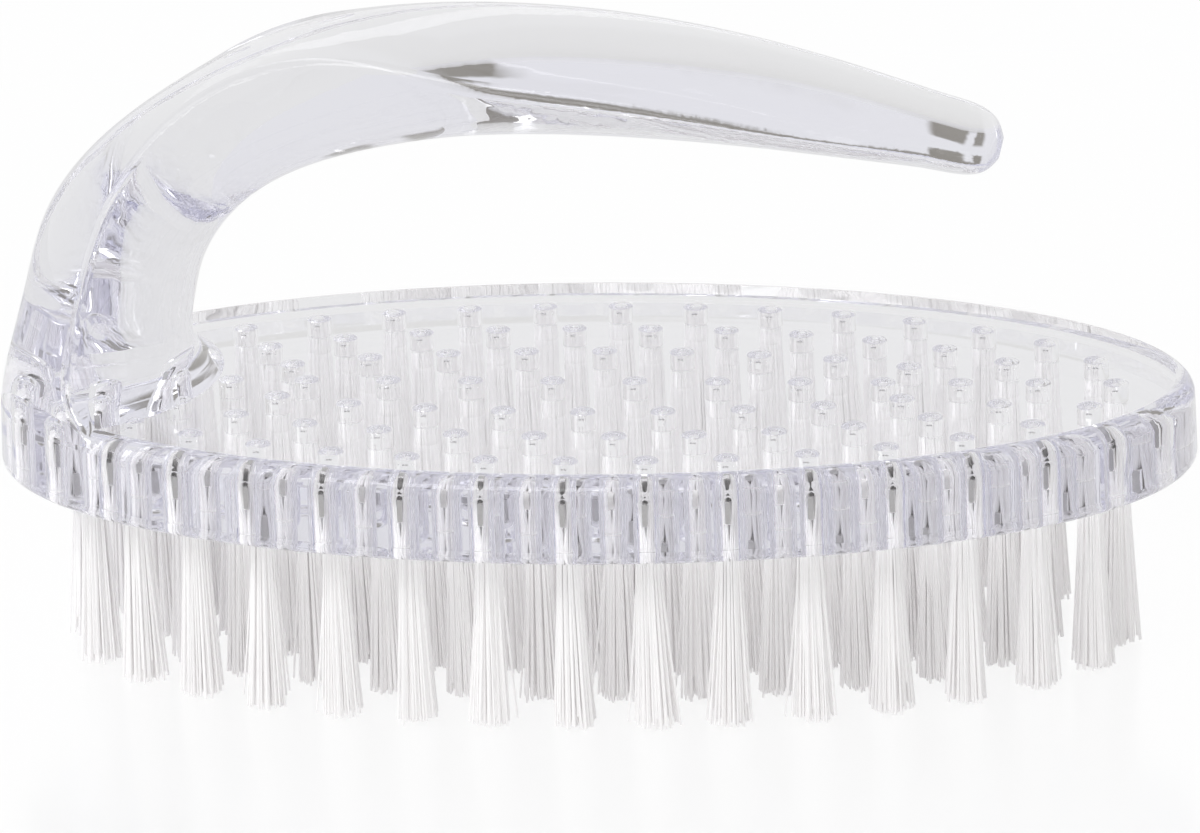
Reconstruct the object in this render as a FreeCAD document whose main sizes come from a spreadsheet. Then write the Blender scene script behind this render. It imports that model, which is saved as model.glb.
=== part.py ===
"""Nail brush: a clear one-piece body with a hook handle, nylon tufts and flat wire anchors.

The brush stands on its tuft tips at z = 0. +X runs from the handle's root to its free tip,
+Z is up, and the origin lies under the middle of the oval plate.
"""
import FreeCAD, Part
import math
import os
import Sketcher

Vector = FreeCAD.Vector

doc = FreeCAD.newDocument("nail_brush")
dims = doc.addObject("Spreadsheet::Sheet", "dims")

SIZES = {
    # Oval plate
    "plate_length": 95.3,
    "plate_width": 52.8,
    "plate_thickness": 7.0,
    "wall_draft": 2.0,
    "top_edge_radius": 1.5,
    "bottom_edge_radius": 1.2,
    # Tuft holes, in concentric oval rings
    "hole_diameter": 2.0,
    "hole_roof": 1.0,
    "hole_entry_overrun": 1.0,
    "edge_margin": 6.4,
    "ring_spacing": 6.1,
    "tuft_pitch": 6.2,
    # Tufts
    "bristle_length": 15.0,
    "tuft_tip_diameter": 3.3,
    "tuft_clearance": 0.05,
    "fold_gap": 0.5,
    # Anchors
    "anchor_thickness": 0.4,
    "anchor_height": 1.8,
    "anchor_length": 2.5,
    "anchor_set_height": 2.1,
    "anchor_clearance": 0.02,
    # Handle
    "handle_edge_radius": 1.0,
    "edge_share_of_bulge": 0.8,
    "wall_setback": 0.05,
    "collar_width": 5.0,
    "collar_rise": 6.0,
    "tip_rounding": 3.2,
}

# Sections of the handle, from inside the plate to the tip. Each one is a lens: reach is measured
# from the plate's end, rise from the plate's top, both to the lens's side edges; lean turns the
# lens from level (0) to upright (90); crown and belly are its bulges out and in.
SECTIONS = {
    "root": {"reach": 10.6, "rise": -3.0, "lean": 0.0, "width": 33.0, "crown": 10.5, "belly": 8.5},
    "flare": {"reach": 9.1, "rise": 0.0, "lean": 1.0, "width": 30.0, "crown": 8.6, "belly": 9.0},
    "foot": {"reach": 7.9, "rise": 2.2, "lean": 5.0, "width": 25.5, "crown": 6.8, "belly": 8.2},
    "stem": {"reach": 8.5, "rise": 7.0, "lean": 12.0, "width": 23.0, "crown": 5.9, "belly": 7.4},
    "heel": {"reach": 10.5, "rise": 14.2, "lean": 27.0, "width": 20.0, "crown": 4.8, "belly": 7.7},
    "bend": {"reach": 15.9, "rise": 21.9, "lean": 48.0, "width": 14.5, "crown": 2.0, "belly": 8.7},
    "neck": {"reach": 25.1, "rise": 26.6, "lean": 70.0, "width": 14.5, "crown": 1.4, "belly": 8.9},
    "palm": {"reach": 38.6, "rise": 26.2, "lean": 85.0, "width": 19.5, "crown": 3.8, "belly": 6.1},
    "grip": {"reach": 51.0, "rise": 24.8, "lean": 94.0, "width": 19.5, "crown": 4.3, "belly": 4.7},
    "taper": {"reach": 61.8, "rise": 22.8, "lean": 100.0, "width": 17.5, "crown": 4.1, "belly": 3.6},
    "finger": {"reach": 70.6, "rise": 21.0, "lean": 104.0, "width": 14.0, "crown": 3.3, "belly": 3.0},
    "end": {"reach": 77.2, "rise": 19.4, "lean": 105.0, "width": 11.2, "crown": 2.8, "belly": 2.5},
}

# Shares of the tip's rounding at which the handle's last lens is repeated, smaller each time
TIP_STEPS = (0.5, 0.8, 0.95)


def fill_sheet():
    """Write every driving size to the sheet, one aliased cell each."""
    cells = dict(SIZES)
    for name, section in SECTIONS.items():
        for key, value in section.items():
            cells[name + "_" + key] = value
    for row, (alias, value) in enumerate(cells.items(), start=1):
        dims.set("A%d" % row, alias)
        dims.set("B%d" % row, str(value))
        dims.setAlias("B%d" % row, alias)
    doc.recompute()


def size(alias):
    return float(dims.get(alias))


def bind(feature, **expressions):
    """Tie properties of a feature to expressions on the sheet."""
    for prop, expression in expressions.items():
        feature.setExpression(prop.replace("__", "."), expression)


def origin_plane(body, role):
    return next(plane for plane in body.Origin.OriginFeatures if plane.Role == role)


def attached_sketch(body, role, name):
    sketch = body.newObject("Sketcher::SketchObject", name)
    sketch.AttachmentSupport = (origin_plane(body, role), "")
    sketch.MapMode = "FlatFace"
    return sketch


def name_constraint(sketch, name, constraint, expression):
    index = sketch.addConstraint(constraint)
    sketch.renameConstraint(index, name)
    sketch.setExpression("Constraints." + name, expression)


def fused(name, *shapes):
    fuse = doc.addObject("Part::MultiFuse", name)
    fuse.Shapes = list(shapes)
    return fuse


def cut(name, base, tool):
    rest = doc.addObject("Part::Cut", name)
    rest.Base = base
    rest.Tool = tool
    return rest


def oval_pad(name, inset, height):
    """Body with an upright oval pad that stands on the plate's underside."""
    body = doc.addObject("PartDesign::Body", name)
    sketch = attached_sketch(body, "XY_Plane", name + "_outline")
    bind(sketch, AttachmentOffset__Base__z="dims.bristle_length")
    ellipse = Part.Ellipse(Vector(0, 0, 0), size("plate_length") / 2, size("plate_width") / 2)
    oval = sketch.addGeometry(ellipse)
    sketch.exposeInternalGeometry(oval)
    sketch.addConstraint(Sketcher.Constraint("Coincident", oval, 3, -1, 1))
    sketch.addConstraint(Sketcher.Constraint("Horizontal", oval + 1))
    for axis, alias in ((oval + 1, "plate_length"), (oval + 2, "plate_width")):
        name_constraint(sketch, alias, Sketcher.Constraint("Distance", axis, size(alias)),
                        "dims.%s - 2 * (%s)" % (alias, inset))
    pad = body.newObject("PartDesign::Pad", name + "_pad")
    pad.Profile = sketch
    bind(pad, Length=height, TaperAngle="-dims.wall_draft * 1deg")
    doc.recompute()
    return body


def rim(feature, height):
    """Names of the edges that go round a pad at one height."""
    return ["Edge%d" % index for index, edge in enumerate(feature.Shape.Edges, start=1)
            if abs(edge.CenterOfMass.z - height) < 1e-4]


def oval_plate():
    """Oval pad with a rounded top edge and a smaller round below."""
    body = oval_pad("plate", "0", "dims.plate_thickness")
    bottom = size("bristle_length")
    for name, height in (("top_edge", bottom + size("plate_thickness")), ("bottom_edge", bottom)):
        tip = body.Tip
        fillet = body.newObject("PartDesign::Fillet", name + "_round")
        fillet.Base = (tip, rim(tip, height))
        bind(fillet, Radius="dims.%s_radius" % name)
        doc.recompute()
    return body


def lens_sketch(body, name, place, lens):
    """Lens of two wide arcs with rounded side edges, on a plane that is square to the handle.

    place holds expressions for the plane's reach, rise and lean, and lens those for the width,
    crown, belly and edge radius.
    """
    sketch = attached_sketch(body, "YZ_Plane", name)
    sketch.AttachmentOffset = FreeCAD.Placement(Vector(0, 0, 0), FreeCAD.Rotation(Vector(1, 0, 0), -45))
    bind(sketch, AttachmentOffset__Base__z="-dims.plate_length / 2 + " + place["reach"],
         AttachmentOffset__Base__y="dims.bristle_length + dims.plate_thickness + " + place["rise"],
         AttachmentOffset__Rotation__Angle=place["lean"] + " - 90")
    number = {key: lens[key + "_mm"] for key in ("width", "crown", "belly", "edge")}
    corner_x = number["width"] / 2 - number["edge"]

    def wide_arc(bulge, turned):
        rest = bulge - number["edge"]
        radius = number["edge"] + (rest ** 2 + corner_x ** 2) / (2 * rest)
        middle = bulge - radius
        half_angle = math.atan2(corner_x, -middle)
        centre = Vector(0, -middle if turned else middle, 0)
        start = (-math.pi / 2 if turned else math.pi / 2) - half_angle
        circle = Part.Circle(centre, Vector(0, 0, 1), radius)
        return Part.ArcOfCircle(circle, start, start + 2 * half_angle), half_angle

    outer, outer_angle = wide_arc(number["crown"], False)
    inner, inner_angle = wide_arc(number["belly"], True)
    left_circle = Part.Circle(Vector(-corner_x, 0, 0), Vector(0, 0, 1), number["edge"])
    right_circle = Part.Circle(Vector(corner_x, 0, 0), Vector(0, 0, 1), number["edge"])
    left = Part.ArcOfCircle(left_circle, math.pi / 2 + outer_angle, 3 * math.pi / 2 - inner_angle)
    right = Part.ArcOfCircle(right_circle, -math.pi / 2 + inner_angle, math.pi / 2 - outer_angle)
    arcs = [sketch.addGeometry(arc) for arc in (outer, left, inner, right)]
    for here, there in zip(arcs, arcs[1:] + arcs[:1]):
        sketch.addConstraint(Sketcher.Constraint("Tangent", here, 2, there, 1))
    for arc in (arcs[1], arcs[3]):
        sketch.addConstraint(Sketcher.Constraint("PointOnObject", arc, 3, -1))
    half_span = "%s / 2 - %s" % (lens["width"], lens["edge"])
    name_constraint(sketch, "left_half", Sketcher.Constraint("DistanceX", arcs[1], 3, -1, 1, corner_x),
                    half_span)
    name_constraint(sketch, "right_half", Sketcher.Constraint("DistanceX", -1, 1, arcs[3], 3, corner_x),
                    half_span)
    for arc, edge_name in ((arcs[1], "left_edge"), (arcs[3], "right_edge")):
        name_constraint(sketch, edge_name, Sketcher.Constraint("Radius", arc, number["edge"]),
                        lens["edge"])
    for arc, side, shape in ((arcs[0], "crown", outer), (arcs[2], "belly", inner)):
        rest = "(%s - %s)" % (lens[side], lens["edge"])
        radius = "%s + (%s ^ 2 + (%s) ^ 2) / (2 * %s)" % (lens["edge"], rest, half_span, rest)
        name_constraint(sketch, side + "_radius", Sketcher.Constraint("Radius", arc, shape.Radius), radius)
    return sketch


def lens_sizes(name, shrink=1.0):
    """Expressions and numbers for a section's lens, whose side edges are limited by its bulges."""
    lens = {}
    for key in ("width", "crown", "belly"):
        lens[key] = "%.6g * dims.%s_%s" % (shrink, name, key)
        lens[key + "_mm"] = shrink * size(name + "_" + key)
    lens["edge"] = ("%.6g * min(dims.handle_edge_radius; dims.edge_share_of_bulge * dims.%s_crown; "
                    "dims.edge_share_of_bulge * dims.%s_belly)" % (shrink, name, name))
    bulge = size("edge_share_of_bulge") * min(size(name + "_crown"), size(name + "_belly"))
    lens["edge_mm"] = shrink * min(size("handle_edge_radius"), bulge)
    return lens


def section_sketch(body, name):
    place = {key: "dims.%s_%s" % (name, key) for key in ("reach", "rise", "lean")}
    return lens_sketch(body, name + "_section", place, lens_sizes(name))


def tip_sketches(body):
    """The last lens again, shrinking along a quarter round to close the tip."""
    sketches = []
    for number, share in enumerate(TIP_STEPS, start=1):
        along = "%g * dims.tip_rounding" % share
        place = {"reach": "dims.end_reach + %s * sin(dims.end_lean * 1deg)" % along,
                 "rise": "dims.end_rise + %s * cos(dims.end_lean * 1deg)" % along,
                 "lean": "dims.end_lean"}
        lens = lens_sizes("end", math.sqrt(1 - share ** 2))
        sketches.append(lens_sketch(body, "tip_section_%d" % number, place, lens))
    return sketches


def hook_handle():
    """Loft through the sections, trimmed at its root by a collar along the plate's oval wall."""
    body = doc.addObject("PartDesign::Body", "handle_blank")
    sketches = [section_sketch(body, name) for name in SECTIONS] + tip_sketches(body)
    doc.recompute()
    loft = body.newObject("PartDesign::AdditiveLoft", "handle_loft")
    loft.Profile = sketches[0]
    loft.Sections = [(sketch, [""]) for sketch in sketches[1:]]
    doc.recompute()
    collar_height = "dims.plate_thickness + dims.collar_rise"
    collar = cut("root_collar", oval_pad("collar_outside", "-dims.collar_width", collar_height),
                 oval_pad("collar_inside", "dims.wall_setback", collar_height))
    return cut("hook_handle", body, collar)


def ring_spots(half_length, half_width):
    """Evenly spaced places on an oval, from its +X end round to its +X end."""
    steps = 2000
    angles = [2 * math.pi * step / steps for step in range(steps + 1)]
    points = [Vector(half_length * math.cos(a), half_width * math.sin(a), 0) for a in angles]
    run = [0.0]
    for here, there in zip(points, points[1:]):
        run.append(run[-1] + there.distanceToPoint(here))
    count = 2 * round(run[-1] / size("tuft_pitch") / 2)
    spots, step = [], 0
    for number in range(count):
        want = run[-1] * number / count
        while run[step + 1] < want:
            step += 1
        share = (want - run[step]) / (run[step + 1] - run[step])
        spots.append(points[step] + (points[step + 1] - points[step]) * share)
    return spots


def row_spots(half_length):
    """Evenly spaced places on the plate's long axis, from +X to -X."""
    gaps = round(2 * half_length / size("tuft_pitch"))
    return [Vector(half_length * (1 - 2 * number / gaps), 0, 0) for number in range(gaps + 1)]


def tuft_spots():
    """Places of the tufts, ring by ring."""
    rings = {}
    for number, name in enumerate(("outer", "second", "third")):
        inset = size("edge_margin") + number * size("ring_spacing")
        rings[name] = ring_spots(size("plate_length") / 2 - inset, size("plate_width") / 2 - inset)
    inset = size("edge_margin") + len(rings) * size("ring_spacing")
    rings["centre"] = row_spots(size("plate_length") / 2 - inset)
    return rings


def box(name, long_x, long_y, long_z, low_z):
    """Upright block centred on the Z axis, with its sizes as expressions."""
    block = doc.addObject("Part::Box", name)
    bind(block, Length=long_x, Width=long_y, Height=long_z, Placement__Base__z=low_z,
         Placement__Base__x="-(%s) / 2" % long_x, Placement__Base__y="-(%s) / 2" % long_y)
    return block


def shank(name, radius, low_z, dome_z):
    """Upright cylinder with a domed top, with its sizes as expressions."""
    column = doc.addObject("Part::Cylinder", name + "_column")
    bind(column, Radius=radius, Height="%s - (%s)" % (dome_z, low_z), Placement__Base__z=low_z)
    dome = doc.addObject("Part::Sphere", name + "_dome")
    bind(dome, Radius=radius, Placement__Base__z=dome_z)
    return column, dome


ANCHOR_LOW = "dims.bristle_length + dims.anchor_set_height"
ANCHOR_SLOT_LOW = ANCHOR_LOW + " - dims.anchor_clearance"
ANCHOR_SLOT_THICKNESS = "dims.anchor_thickness + 2 * dims.anchor_clearance"
ANCHOR_SLOT_HEIGHT = "dims.anchor_height + 2 * dims.anchor_clearance"
HOLE_DOME = "dims.bristle_length + dims.plate_thickness - dims.hole_roof - dims.hole_diameter / 2"


def hole_pattern():
    """Blind round-ended hole, with the slit that the anchor's ends cut in its sides."""
    column, dome = shank("hole", "dims.hole_diameter / 2",
                         "dims.bristle_length - dims.hole_entry_overrun", HOLE_DOME)
    bite = box("hole_bite", ANCHOR_SLOT_THICKNESS, "dims.anchor_length + 2 * dims.anchor_clearance",
               ANCHOR_SLOT_HEIGHT, ANCHOR_SLOT_LOW)
    return fused("hole_pattern", column, dome, bite)


def tuft_pattern():
    """Bundle of filaments: folded over the anchor in its hole, and splayed below the plate."""
    radius = "dims.hole_diameter / 2 - dims.tuft_clearance"
    column, dome = shank("fold", radius, "dims.bristle_length", HOLE_DOME + " - dims.fold_gap")
    splay = doc.addObject("Part::Cone", "splay")
    bind(splay, Radius1="dims.tuft_tip_diameter / 2", Radius2=radius, Height="dims.bristle_length")
    slot = box("fold_slot", ANCHOR_SLOT_THICKNESS, "dims.hole_diameter", ANCHOR_SLOT_HEIGHT,
               ANCHOR_SLOT_LOW)
    return cut("tuft_pattern", fused("tuft_bundle", column, dome, splay), slot)


def anchor_pattern():
    """Short length of flat wire with rolled round edges, on edge across the hole."""
    body = doc.addObject("PartDesign::Body", "anchor_pattern")
    sketch = attached_sketch(body, "XZ_Plane", "wire_section")
    bind(sketch, AttachmentOffset__Base__y=ANCHOR_LOW + " + dims.anchor_height / 2")
    radius = size("anchor_thickness") / 2
    rise = size("anchor_height") / 2 - radius
    top = Part.ArcOfCircle(Part.Circle(Vector(0, rise, 0), Vector(0, 0, 1), radius), 0, math.pi)
    bottom = Part.ArcOfCircle(Part.Circle(Vector(0, -rise, 0), Vector(0, 0, 1), radius),
                              math.pi, 2 * math.pi)
    left = Part.LineSegment(Vector(-radius, rise, 0), Vector(-radius, -rise, 0))
    right = Part.LineSegment(Vector(radius, -rise, 0), Vector(radius, rise, 0))
    outline = [sketch.addGeometry(part) for part in (top, left, bottom, right)]
    for here, there in zip(outline, outline[1:] + outline[:1]):
        sketch.addConstraint(Sketcher.Constraint("Tangent", here, 2, there, 1))
    sketch.addConstraint(Sketcher.Constraint("Vertical", outline[1]))
    sketch.addConstraint(Sketcher.Constraint("PointOnObject", outline[0], 3, -2))
    name_constraint(sketch, "radius", Sketcher.Constraint("Radius", outline[0], radius),
                    "dims.anchor_thickness / 2")
    for name, first, second in (("above", (-1, 1), (outline[0], 3)), ("below", (outline[2], 3), (-1, 1))):
        name_constraint(sketch, name, Sketcher.Constraint("DistanceY", *first, *second, rise),
                        "(dims.anchor_height - dims.anchor_thickness) / 2")
    pad = body.newObject("PartDesign::Pad", "wire_length")
    pad.Profile = sketch
    pad.Midplane = True
    bind(pad, Length="dims.anchor_length")
    return body


def copies(label, pattern, spots):
    """One node that holds a copy of a pattern at each place."""
    group = doc.addObject("Part::Feature", label)
    group.Shape = Part.Compound([pattern.Shape.translated(spot) for spot in spots])
    return group


def ring_nodes(spots):
    """A ring's places by node: its two ends, then the pairs that face each other across it."""
    half = len(spots) // 2
    nodes = {"tip_end": spots[:1], "root_end": spots[half:half + 1]}
    for number in range(1, half):
        nodes["pair_%02d" % number] = [spots[number], spots[-number]]
    return nodes


def row_nodes(spots):
    """The centre row's places by node, one tuft each."""
    return {"%02d" % number: [spot] for number, spot in enumerate(spots, start=1)}


def build():
    fill_sheet()
    moulding = fused("moulding", oval_plate(), hook_handle())
    hole, tuft, anchor = hole_pattern(), tuft_pattern(), anchor_pattern()
    doc.recompute()

    rings = tuft_spots()
    all_spots = [spot for spots in rings.values() for spot in spots]
    parts = [cut("brush_body", moulding, copies("tuft_holes", hole, all_spots))]
    for ring, spots in rings.items():
        nodes = row_nodes(spots) if ring == "centre" else ring_nodes(spots)
        for name, places in nodes.items():
            parts.append(copies("tufts_%s_%s" % (ring, name), tuft, places))
        parts.append(copies("anchors_%s" % ring, anchor, spots))
    doc.recompute()
    return parts


def check(parts):
    """Stop before anything is written if a feature failed or a piece isn't a sound solid."""
    for feature in doc.Objects:
        if {"Invalid", "Error"} & set(feature.State):
            raise RuntimeError("%s failed: %s" % (feature.Label, feature.State))
    for part in parts:
        if part.Shape.isNull() or not part.Shape.isValid() or not part.Shape.Solids:
            raise RuntimeError("%s is not a sound solid" % part.Label)


def write(parts):
    os.makedirs("parts", exist_ok=True)
    for part in parts:
        part.Shape.exportStep("parts/%s.step" % part.Label)
        print("%-22s %3d solids %9.2f mm3" % (part.Label, len(part.Shape.Solids), part.Shape.Volume))


pieces = build()
check(pieces)
write(pieces)
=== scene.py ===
import math
import random

import bmesh
import bpy
from mathutils import Matrix, Vector


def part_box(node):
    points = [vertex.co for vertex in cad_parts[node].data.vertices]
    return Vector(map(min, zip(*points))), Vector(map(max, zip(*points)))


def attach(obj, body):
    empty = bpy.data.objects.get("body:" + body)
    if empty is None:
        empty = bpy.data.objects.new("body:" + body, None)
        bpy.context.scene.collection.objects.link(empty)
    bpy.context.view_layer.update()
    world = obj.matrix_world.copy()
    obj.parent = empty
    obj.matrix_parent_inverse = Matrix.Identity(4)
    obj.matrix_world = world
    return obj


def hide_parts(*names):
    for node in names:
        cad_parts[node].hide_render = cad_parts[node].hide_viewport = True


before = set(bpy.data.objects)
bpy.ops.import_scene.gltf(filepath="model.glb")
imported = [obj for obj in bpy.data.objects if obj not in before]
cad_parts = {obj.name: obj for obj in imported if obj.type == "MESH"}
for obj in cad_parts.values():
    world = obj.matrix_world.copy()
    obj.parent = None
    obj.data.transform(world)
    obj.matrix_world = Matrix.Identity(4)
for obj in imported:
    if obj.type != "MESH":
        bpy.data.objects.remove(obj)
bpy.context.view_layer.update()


# Brush body
# One polished injection moulding in clear plastic with a faint violet-blue cast: the oval plate,
# and the hook handle that grows out of its end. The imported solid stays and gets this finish.

MM = 0.001
RIPPLE_DEPTH = 0.1 * MM
SWIRL_SCALE = 90.0
HAZE_SCALE = 900.0
HAZE_ROUGHNESS = 0.03
PLASTIC_WHITE = (0.997, 0.997, 1.0, 1)
PLASTIC_IOR = 1.5
CAST_COLOUR = (0.55, 0.55, 0.85, 1)
CAST_DENSITY = 4.0


class Socket:
    """A shader socket in a sum: operators add Math nodes, and node() adds any other node."""

    def __init__(self, tree, outlet=None):
        self.tree = tree
        self.outlet = outlet

    def node(self, kind, settings, inputs, outlet=0):
        """Add a node: its settings first, then the values or links of its sockets."""
        made = self.tree.nodes.new("ShaderNode" + kind)
        for name, value in settings.items():
            setattr(made, name, value)
        for name, value in inputs.items():
            inlet = next(s for s in made.inputs if name in (s.identifier, s.name))
            if isinstance(value, Socket):
                self.tree.links.new(value.outlet, inlet)
            else:
                inlet.default_value = value
        return Socket(self.tree, made.outputs[outlet] if made.outputs else None)

    def maths(self, operation, first, second):
        return self.node("Math", {"operation": operation}, {"Value": first, "Value_001": second})

    def at_most(self, limit):
        return self.maths("MINIMUM", self, limit)

    def or_more(self, other):
        return self.maths("MAXIMUM", self, other)

    def __add__(self, other):
        return self.maths("ADD", self, other)

    def __rsub__(self, other):
        return self.maths("SUBTRACT", other, self)

    def __mul__(self, other):
        return self.maths("MULTIPLY", self, other)

    __radd__ = __add__
    __rmul__ = __mul__


def new_finish(name):
    """A material with no nodes yet, and a socket that its nodes are added from."""
    material = bpy.data.materials.new(name)
    material.use_nodes = True
    material.node_tree.nodes.clear()
    return material, Socket(material.node_tree)


def give_finish(piece, material):
    piece.data.materials.clear()
    piece.data.materials.append(material)


clear_plastic, nodes = new_finish("clear_plastic")
place = nodes.node("TexCoord", {}, {}, "Object")
swirl = nodes.node("TexNoise", {}, {
    "Vector": place, "Scale": SWIRL_SCALE, "Detail": 2.0, "Distortion": 0.6})
haze = nodes.node("TexNoise", {}, {"Vector": place, "Scale": HAZE_SCALE, "Detail": 4.0})
ripple = nodes.node("Bump", {}, {"Strength": 0.2, "Distance": RIPPLE_DEPTH, "Height": swirl})
shader = nodes.node("BsdfPrincipled", {}, {
    "Base Color": PLASTIC_WHITE, "Roughness": haze * HAZE_ROUGHNESS, "IOR": PLASTIC_IOR,
    "Transmission Weight": 1.0, "Normal": ripple})
cast = nodes.node("VolumeAbsorption", {}, {"Color": CAST_COLOUR, "Density": CAST_DENSITY})
nodes.node("OutputMaterial", {}, {"Surface": shader, "Volume": cast})
give_finish(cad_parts["brush_body"], clear_plastic)


# Anchors
# Short lengths of rolled flat steel wire, one on edge across each tuft's fold. They are driven in
# with the tuft and bite into the walls of its hole.

ROLLING_STRETCH = (9000, 300, 9000)
STEEL_DARK = (0.45, 0.44, 0.43, 1)
STEEL_LIGHT = (0.65, 0.64, 0.63, 1)


def two_tone(nodes, share, first, second):
    """A colour between two others, or between two colour sockets."""
    return nodes.node("Mix", {"data_type": "RGBA"}, {
        "Factor_Float": share, "A_Color": first, "B_Color": second}, 2)


bright_wire, nodes = new_finish("bright_wire")
place = nodes.node("TexCoord", {}, {}, "Object")
along = nodes.node("Mapping", {}, {"Vector": place, "Scale": ROLLING_STRETCH})
rolled = nodes.node("TexNoise", {}, {"Vector": along, "Scale": 1.0, "Detail": 3.0})
steel = two_tone(nodes, rolled, STEEL_DARK, STEEL_LIGHT)
shader = nodes.node("BsdfPrincipled", {}, {
    "Base Color": steel, "Metallic": 1.0, "Roughness": 0.3 + rolled * 0.2})
nodes.node("OutputMaterial", {}, {"Surface": shader})
for name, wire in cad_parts.items():
    if name.startswith("anchors_"):
        give_finish(wire, bright_wire)


# Tufts
# Bundles of white nylon filament, folded double over the anchor and pushed into a blind hole. Each
# filament is one tube: up from its trimmed end, over the anchor and down to its other end.

FILAMENT_RADIUS = 0.09 * MM
FILAMENT_SIDES = 5
FILAMENTS_A_TUFT = 60
BUNDLE_RADIUS = 0.85 * MM
ANCHOR_HALF = 0.32 * MM
GOLDEN_ANGLE = math.pi * (3 - math.sqrt(5))
SPLAY_RANGE = (0.8, 1.2)
BEND_STEPS = (0.35, 0.7, 1.0)
BEND_POWER = 1.15
LEAN_REACH = 0.35 * MM
DRIFT_REACH = 0.2 * MM
STRAY_SHARE = 0.05
STRAY_RANGE = (0.2, 0.9)
TRIM_LEAST = 0.05
TRIM_SPREAD = 0.3
SHORT_SHARE = 0.08
SHORT_RANGE = (0.4, 1.8)
STRAND_STRETCH = (4000, 4000, 60)
NYLON_DEEP = (0.975, 0.97, 0.97, 1)
NYLON_PALE = (0.99, 0.985, 0.985, 1)
NYLON_IOR = 1.53
anchor_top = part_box("anchors_centre")[1].z
plate_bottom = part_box("brush_body")[0].z

white_nylon, nodes = new_finish("white_nylon")
place = nodes.node("TexCoord", {}, {}, "Object")
along = nodes.node("Mapping", {}, {"Vector": place, "Scale": STRAND_STRETCH})
strand = nodes.node("TexNoise", {}, {"Vector": along, "Scale": 1.0, "Detail": 2.0})
nylon = two_tone(nodes, strand, NYLON_DEEP, NYLON_PALE)
shader = nodes.node("BsdfPrincipled", {}, {
    "Base Color": nylon, "Roughness": 0.35 + strand * 0.2, "IOR": NYLON_IOR})
nodes.node("OutputMaterial", {}, {"Surface": shader})


def filament_path(side, spot, splay, lean, chance):
    """Half of a folded filament, from its shoulder beside the anchor down to its trimmed end."""
    across, along_row = spot
    stray = chance.uniform(*STRAY_RANGE) * MM if chance.random() < STRAY_SHARE else 0.0
    heading = chance.uniform(0, 2 * math.pi)
    drift = Vector((math.cos(heading), math.sin(heading), 0)) * (chance.uniform(0, DRIFT_REACH) + stray)
    trim = (TRIM_LEAST + abs(chance.gauss(0, TRIM_SPREAD))) * MM
    if chance.random() < SHORT_SHARE:
        trim += chance.uniform(*SHORT_RANGE) * MM
    beside = ANCHOR_HALF + across * (1 - ANCHOR_HALF / BUNDLE_RADIUS)
    root = Vector((side * across, along_row, plate_bottom))
    tip = Vector((root.x * splay, root.y * splay, trim)) + lean + drift
    path = [Vector((side * beside, along_row, anchor_top)), root]
    for share in BEND_STEPS:
        step = root.lerp(tip, share)
        out = (tip - root) * (share ** BEND_POWER - share)
        path.append(step + Vector((out.x, out.y, 0)))
    return path


def heads_along(path):
    """Where a filament's ring goes at each point of its path, square to the way it runs."""
    heads = []
    for number, point in enumerate(path):
        way = path[min(number + 1, len(path) - 1)] - path[max(number - 1, 0)]
        heads.append(Matrix.Translation(point) @ way.to_track_quat("Z", "Y").to_matrix().to_4x4())
    return heads


def extrude_filaments(bm, runs):
    """Tubes along their runs of heads: capped rings that are extruded side by side, step by step."""
    order = bm.faces.layers.int.get("filament") or bm.faces.layers.int.new("filament")
    faces = []
    for number, heads in enumerate(runs):
        ring = bmesh.ops.create_circle(bm, cap_ends=True, segments=FILAMENT_SIDES,
                                       radius=FILAMENT_RADIUS, matrix=heads[0])
        faces.append(ring["verts"][0].link_faces[0])
        faces[-1][order] = number
    for step in range(1, len(runs[0])):
        made = bmesh.ops.extrude_face_region(bm, geom=faces)["geom"]
        faces = [part for part in made if isinstance(part, bmesh.types.BMFace)]
        for face in faces:
            heads = runs[face[order]]
            move = heads[step] @ heads[step - 1].inverted()
            for vert in face.verts:
                vert.co = move @ vert.co


def grow_tuft(bm, centre, tip_radius, chance):
    """A bundle of folded filaments, spread evenly in the hole and splayed to the tip."""
    heading = chance.uniform(0, 2 * math.pi)
    lean = Vector((math.cos(heading), math.sin(heading), 0)) * chance.uniform(0, LEAN_REACH)
    turn = chance.uniform(0, math.pi)
    runs = []
    for number in range(FILAMENTS_A_TUFT):
        reach = BUNDLE_RADIUS * math.sqrt((number + 0.5) / FILAMENTS_A_TUFT)
        angle = turn + number * GOLDEN_ANGLE
        spot = (abs(reach * math.cos(angle)), reach * math.sin(angle))
        splay = (tip_radius - FILAMENT_RADIUS) / BUNDLE_RADIUS * chance.uniform(*SPLAY_RANGE)
        up = filament_path(1, spot, splay, lean, chance)
        down = filament_path(-1, spot, splay, lean, chance)
        beside = up[0].x
        crown = [Vector((beside * math.cos(bend), spot[1], anchor_top + beside * math.sin(bend)))
                 for bend in (math.pi / 4, math.pi / 2, 3 * math.pi / 4)]
        runs.append(heads_along([centre + point for point in up[::-1] + crown + down]))
    extrude_filaments(bm, runs)


def piece_from(bm, name):
    """An object of that name from a finished bmesh, linked to the scene."""
    mesh = bpy.data.meshes.new(name)
    bm.to_mesh(mesh)
    bm.free()
    piece = bpy.data.objects.new(name, mesh)
    bpy.context.scene.collection.objects.link(piece)
    return piece


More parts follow.
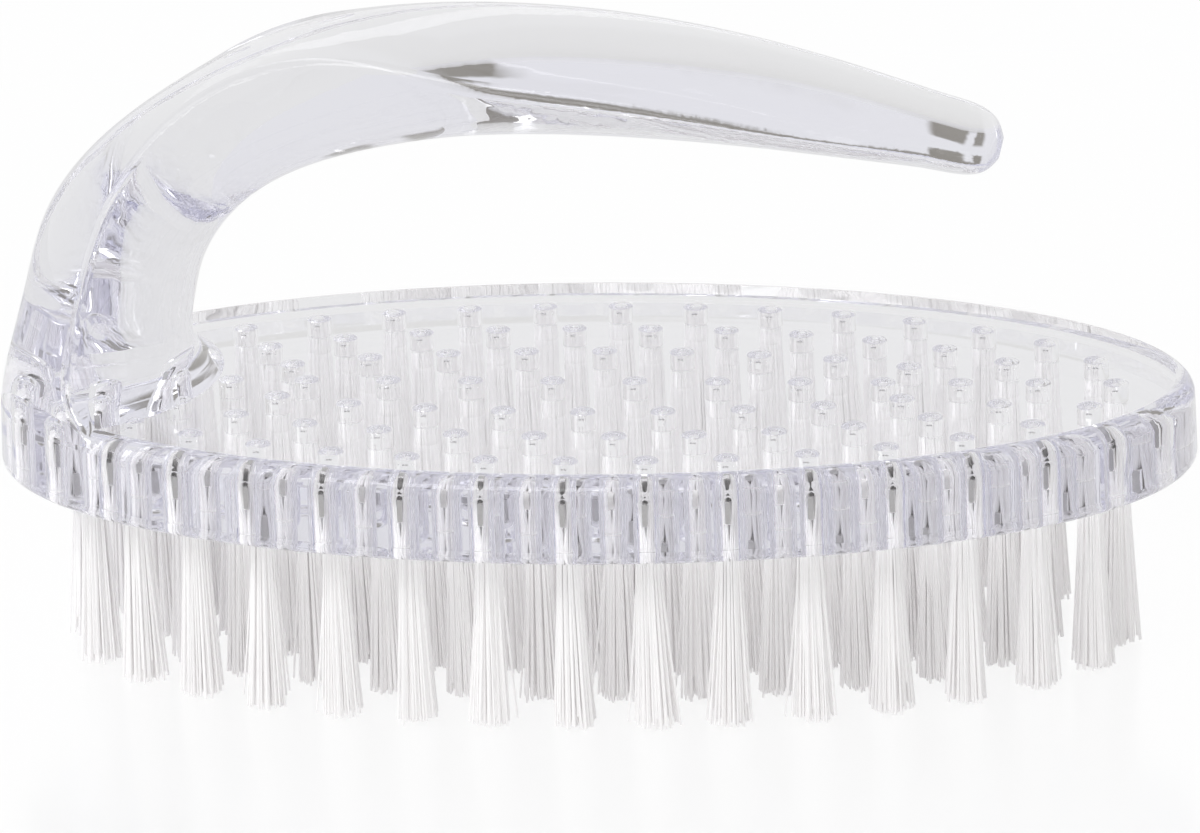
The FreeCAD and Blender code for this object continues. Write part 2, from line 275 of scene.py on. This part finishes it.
for order, name in enumerate(sorted(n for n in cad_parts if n.startswith("tufts_"))):
    low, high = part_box(name)
    tip_radius = (high.x - low.x) / 2
    offset = high.y - tip_radius
    bm = bmesh.new()
    for side in ((1, -1) if "_pair_" in name else (0,)):
        chance = random.Random(10 * order + side)
        grow_tuft(bm, Vector((low.x + tip_radius, side * offset, 0)), tip_radius, chance)
    bmesh.ops.recalc_face_normals(bm, faces=bm.faces)
    bundle = piece_from(bm, "nylon_" + name)
    give_finish(bundle, white_nylon)
    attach(bundle, "root")
    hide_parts(name)


# Studio
# A pale polished table that runs out of sight under the brush, a pale room whose dark gaps overhead
# show in the clear handle, two soft lamps from the front and left, and the photograph's camera.

TABLE_SIZE = 6.0
TABLE_WHITE = (0.97, 0.97, 0.97, 1)
TABLE_SEEN = 0.93
TABLE_MIRROR = 0.12
BACKDROP_LEVEL = 0.78
WHITE = (1, 1, 1, 1)
bm = bmesh.new()
bmesh.ops.create_grid(bm, x_segments=1, y_segments=1, size=TABLE_SIZE / 2)
table = piece_from(bm, "table")

pale_table, nodes = new_finish("pale_table")
camera_ray = nodes.node("LightPath", {}, {}, "Is Camera Ray")
glossy_ray = nodes.node("LightPath", {}, {}, "Is Glossy Ray")
passing_ray = nodes.node("LightPath", {}, {}, "Is Transmission Ray")
shows = camera_ray.or_more(glossy_ray).or_more(passing_ray)
white = nodes.node("Emission", {}, {
    "Color": WHITE, "Strength": BACKDROP_LEVEL + camera_ray * (1 - BACKDROP_LEVEL)})
gloss = nodes.node("BsdfPrincipled", {}, {"Base Color": TABLE_WHITE, "Roughness": 0.12})
plain = nodes.node("MixShader", {}, {"Fac": shows * TABLE_SEEN, "Shader": gloss, "Shader_001": white})
mirror = nodes.node("BsdfGlossy", {}, {"Color": WHITE, "Roughness": 0.18})
polished = nodes.node("MixShader", {}, {
    "Fac": camera_ray * TABLE_MIRROR, "Shader": plain, "Shader_001": mirror})
nodes.node("OutputMaterial", {}, {"Surface": polished})
give_finish(table, pale_table)

ROOM_PALE = (BACKDROP_LEVEL, BACKDROP_LEVEL, 0.81, 1)
ROOM_DARK = (0.26, 0.245, 0.22, 1)
LIGHT_WEST = (0.91, 0.91, 0.91, 1)
LIGHT_EAST = (0.6, 0.59, 0.59, 1)
world = bpy.data.worlds.new("studio")
bpy.context.scene.world = world
world.use_nodes = True
world.node_tree.nodes.clear()
nodes = Socket(world.node_tree)
heading = nodes.node("TexCoord", {}, {}, "Generated")
east = nodes.node("SeparateXYZ", {}, {"Vector": heading}, "X")
rise = nodes.node("SeparateXYZ", {}, {"Vector": heading}, "Z")


def fade(value, low, high):
    """From 0 below low to 1 above high, smoothly."""
    return nodes.node("MapRange", {"interpolation_type": "SMOOTHSTEP"}, {
        "Value": value, "From Min": low, "From Max": high, "To Min": 0.0, "To Max": 1.0})


ceiling = fade(rise, 0.68, 0.74)
pale_strip = fade(east, -0.265, -0.215) * (1 - fade(east, -0.15, -0.08))
pale_west = 1 - fade(east, -0.44, -0.36)
overhead = fade(rise, 0.90, 0.96)
dark = (ceiling * (1 - pale_strip) * (1 - pale_west)).or_more(overhead)
room = two_tone(nodes, dark, ROOM_PALE, ROOM_DARK)

# What lights the brush is a plain pale sky, a little brighter from the west. Rays straight from the
# camera, or mirrored by an outer surface, see white, and rays that passed through plastic see the room.
camera_ray = nodes.node("LightPath", {}, {}, "Is Camera Ray")
glossy_ray = nodes.node("LightPath", {}, {}, "Is Glossy Ray")
passing_ray = nodes.node("LightPath", {}, {}, "Is Transmission Ray")
lights = nodes.node("LightPath", {}, {}, "Diffuse Depth").at_most(1.0)
sky = two_tone(nodes, fade(east, -0.9, 0.9), LIGHT_WEST, LIGHT_EAST)
lit = two_tone(nodes, lights, room, sky)
sight = two_tone(nodes, camera_ray.or_more(glossy_ray * (1 - passing_ray)), lit, WHITE)
air = nodes.node("Background", {}, {"Color": sight, "Strength": 1.0})
nodes.node("OutputWorld", {}, {"Surface": air})


def softbox(name, spot, target, width, height, watts):
    lamp = bpy.data.lights.new(name, "AREA")
    lamp.shape = "RECTANGLE"
    lamp.size = width
    lamp.size_y = height
    lamp.energy = watts
    holder = bpy.data.objects.new(name, lamp)
    way = Vector(target) - Vector(spot)
    holder.matrix_world = Matrix.Translation(spot) @ way.to_track_quat("-Z", "Y").to_matrix().to_4x4()
    bpy.context.scene.collection.objects.link(holder)


softbox("softbox_front", (-0.3, -0.75, 0.7), (0, 0, 0.02), 0.6, 0.4, 2.0)
softbox("softbox_left", (-0.8, -0.4, 0.5), (0, 0, 0.03), 0.5, 0.5, 0.8)

CAMERA_AZIMUTH = math.radians(6.893)
CAMERA_ELEVATION = math.radians(17.778)
CAMERA_ROLL = math.radians(-1.877)
CAMERA_DISTANCE = 570.02 * MM
CAMERA_AIM = Vector((0, 0, 21.27 * MM))
lens = bpy.data.cameras.new("camera")
lens.sensor_fit = "HORIZONTAL"
lens.sensor_width = 36.0
lens.lens = 216.09
lens.shift_x = 0.0052
lens.shift_y = -0.0273
camera = bpy.data.objects.new("camera", lens)
back = Vector((math.sin(CAMERA_AZIMUTH) * math.cos(CAMERA_ELEVATION),
               -math.cos(CAMERA_AZIMUTH) * math.cos(CAMERA_ELEVATION), math.sin(CAMERA_ELEVATION)))
level = Vector((math.cos(CAMERA_AZIMUTH), math.sin(CAMERA_AZIMUTH), 0))
upright = back.cross(level)
right = level * math.cos(CAMERA_ROLL) + upright * math.sin(CAMERA_ROLL)
up = back.cross(right)
turn = Matrix((right, up, back)).transposed().to_4x4()
camera.matrix_world = Matrix.Translation(CAMERA_AIM + back * CAMERA_DISTANCE) @ turn
bpy.context.scene.collection.objects.link(camera)
bpy.context.scene.camera = camera

# Clear plastic sends light round many times before it comes out, so few bounces would leave it grey
bpy.context.scene.view_settings.view_transform = "Standard"
bpy.context.scene.cycles.blur_glossy = 0.0
bpy.context.scene.cycles.max_bounces = 40
bpy.context.scene.cycles.glossy_bounces = 40
bpy.context.scene.cycles.transmission_bounces = 40
bpy.context.scene.cycles.diffuse_bounces = 20
